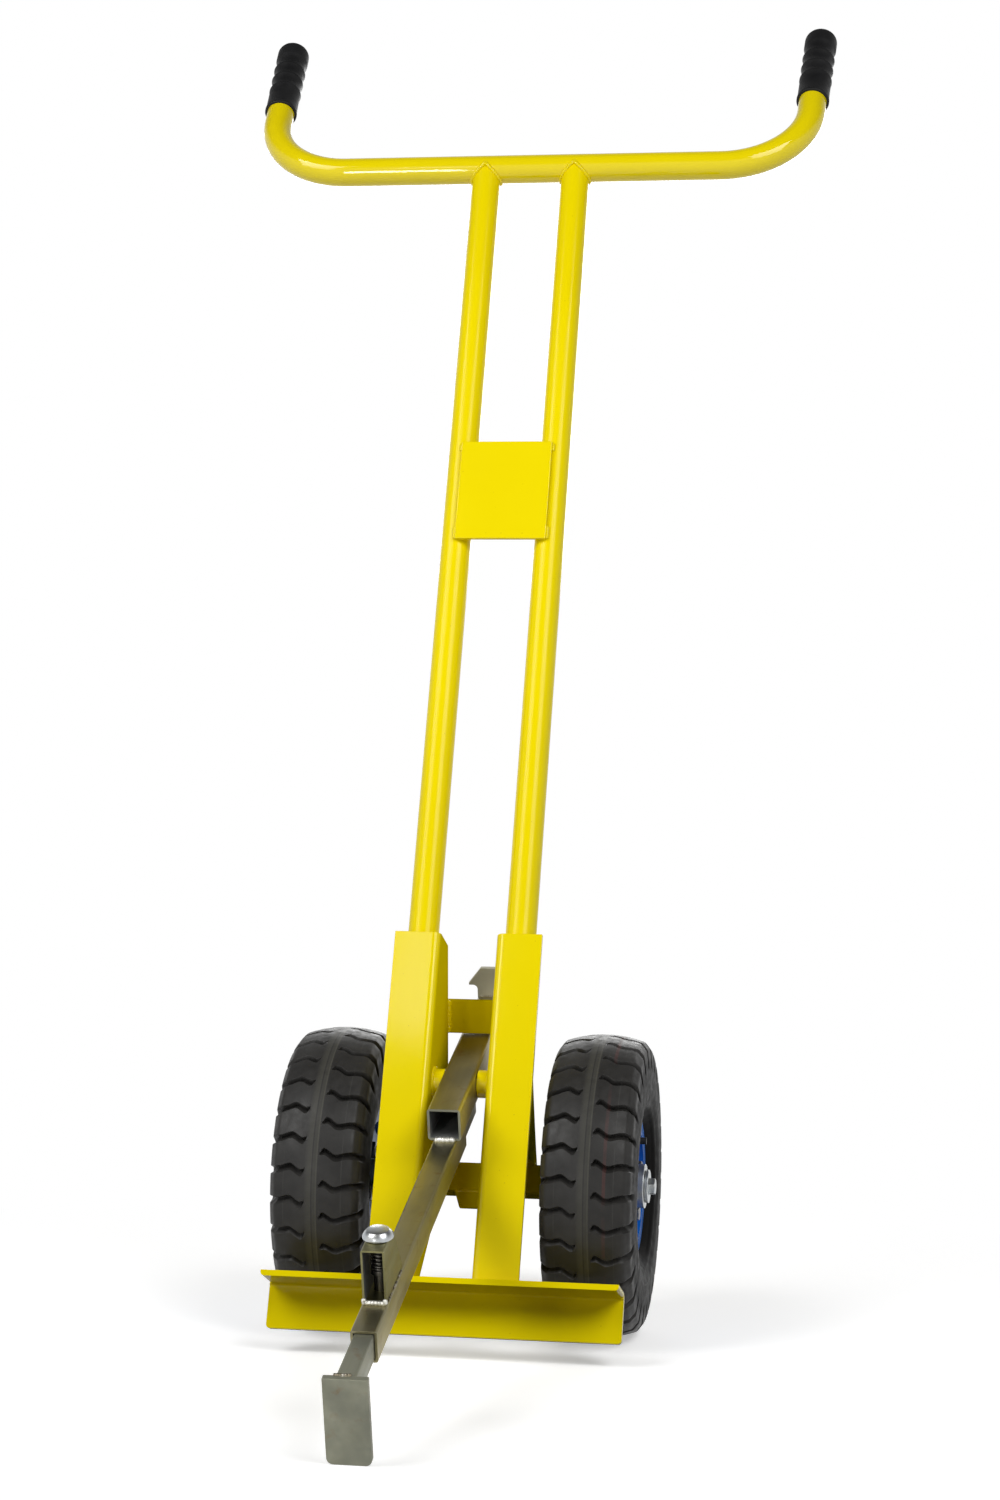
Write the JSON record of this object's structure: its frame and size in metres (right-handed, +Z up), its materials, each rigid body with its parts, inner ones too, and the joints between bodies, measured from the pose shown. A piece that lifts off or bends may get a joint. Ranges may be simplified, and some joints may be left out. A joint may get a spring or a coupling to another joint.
{
  "type": "tile cart",
  "caption": "Hand cart for paving slabs, with a tubular handle on pneumatic wheels, a toe angle and a pivoted telescopic arm ending in a jaw that grips the slab.",
  "frame": {"origin": "on the floor, at the middle of the bounding box", "axes": "+X to the right of someone facing the front from behind, +Y to the rear where the user stands, +Z up"},
  "size_m": [0.5662, 0.9182, 1.2187],
  "materials": {
    "yellow_paint": "gloss",
    "blue_paint": "gloss",
    "bare_steel": "satin",
    "zinc": "satin",
    "spring_steel": "satin",
    "bearing_steel": "satin",
    "bronze": "satin",
    "grip_rubber": "matte",
    "tyre": "matte",
    "tube_rubber": "matte"
  },
  "bodies": {
    "frame": {"handlebar": "yellow_paint", "left_upright": "yellow_paint", "right_upright": "yellow_paint", "brace_plate": "yellow_paint", "left_side_plate": "yellow_paint", "right_side_plate": "yellow_paint", "toe_angle": "yellow_paint", "stop_plate": "yellow_paint", "axle_beam": "yellow_paint", "beam_tab": "yellow_paint", "left_gusset": "yellow_paint", "right_gusset": "yellow_paint", "left_pivot_boss": "yellow_paint", "right_pivot_boss": "yellow_paint", "left_grip": "grip_rubber", "right_grip": "grip_rubber", "pivot_bolt": "zinc", "pivot_nut": "zinc", "pivot_washers": "zinc", "axle": "zinc", "axle_spacers": "zinc", "axle_washers": "zinc", "axle_screws": "zinc"},
    "arm": {"arm_upper_tube": "bare_steel", "arm_outer_tube": "bare_steel", "tail_plate": "bare_steel", "lock_housing": "bare_steel", "pivot_bush": "bronze", "lock_spring": "spring_steel"},
    "extension": {"inner_bar": "bare_steel", "jaw_plate": "bare_steel"},
    "lock": {"lock_pin": "zinc", "pin_collar": "zinc"},
    "left_wheel": {"left_tyre": "tyre", "left_inner_tube": "tube_rubber", "left_outer_rim": "blue_paint", "left_inner_rim": "blue_paint", "left_hub": "zinc", "left_bearings": "bearing_steel", "left_rim_bolts": "zinc", "left_valve": "tube_rubber"},
    "right_wheel": {"right_tyre": "tyre", "right_inner_tube": "tube_rubber", "right_outer_rim": "blue_paint", "right_inner_rim": "blue_paint", "right_hub": "zinc", "right_bearings": "bearing_steel", "right_rim_bolts": "zinc", "right_valve": "tube_rubber"}
  },
  "joints": [
    {"name": "left_wheel_spin", "type": "hinge", "parent": "frame", "child": "left_wheel", "pos_m": [-0.115, 0.05545, 0.13], "axis": [1, 0, 0], "continuous": true},
    {"name": "right_wheel_spin", "type": "hinge", "parent": "frame", "child": "right_wheel", "pos_m": [0.115, 0.05545, 0.13], "axis": [1, 0, 0], "continuous": true},
    {"name": "arm_swing", "type": "hinge", "parent": "frame", "child": "arm", "pos_m": [0, -0.0026, 0.22108], "axis": [-1, 0, 0], "range_deg": [0, 55]},
    {"name": "arm_extend", "type": "slide", "parent": "arm", "child": "extension", "axis": [0, -0.9571, -0.2899], "range_m": [-0.05, 0.25]},
    {"name": "lock_pin_lift", "type": "slide", "parent": "arm", "child": "lock", "axis": [0, -0.2899, 0.9571], "range_m": [0, 0.012], "stiffness_N_per_m": 900, "springref_m": -0.01, "deforming": ["lock_spring"]}
  ]
}
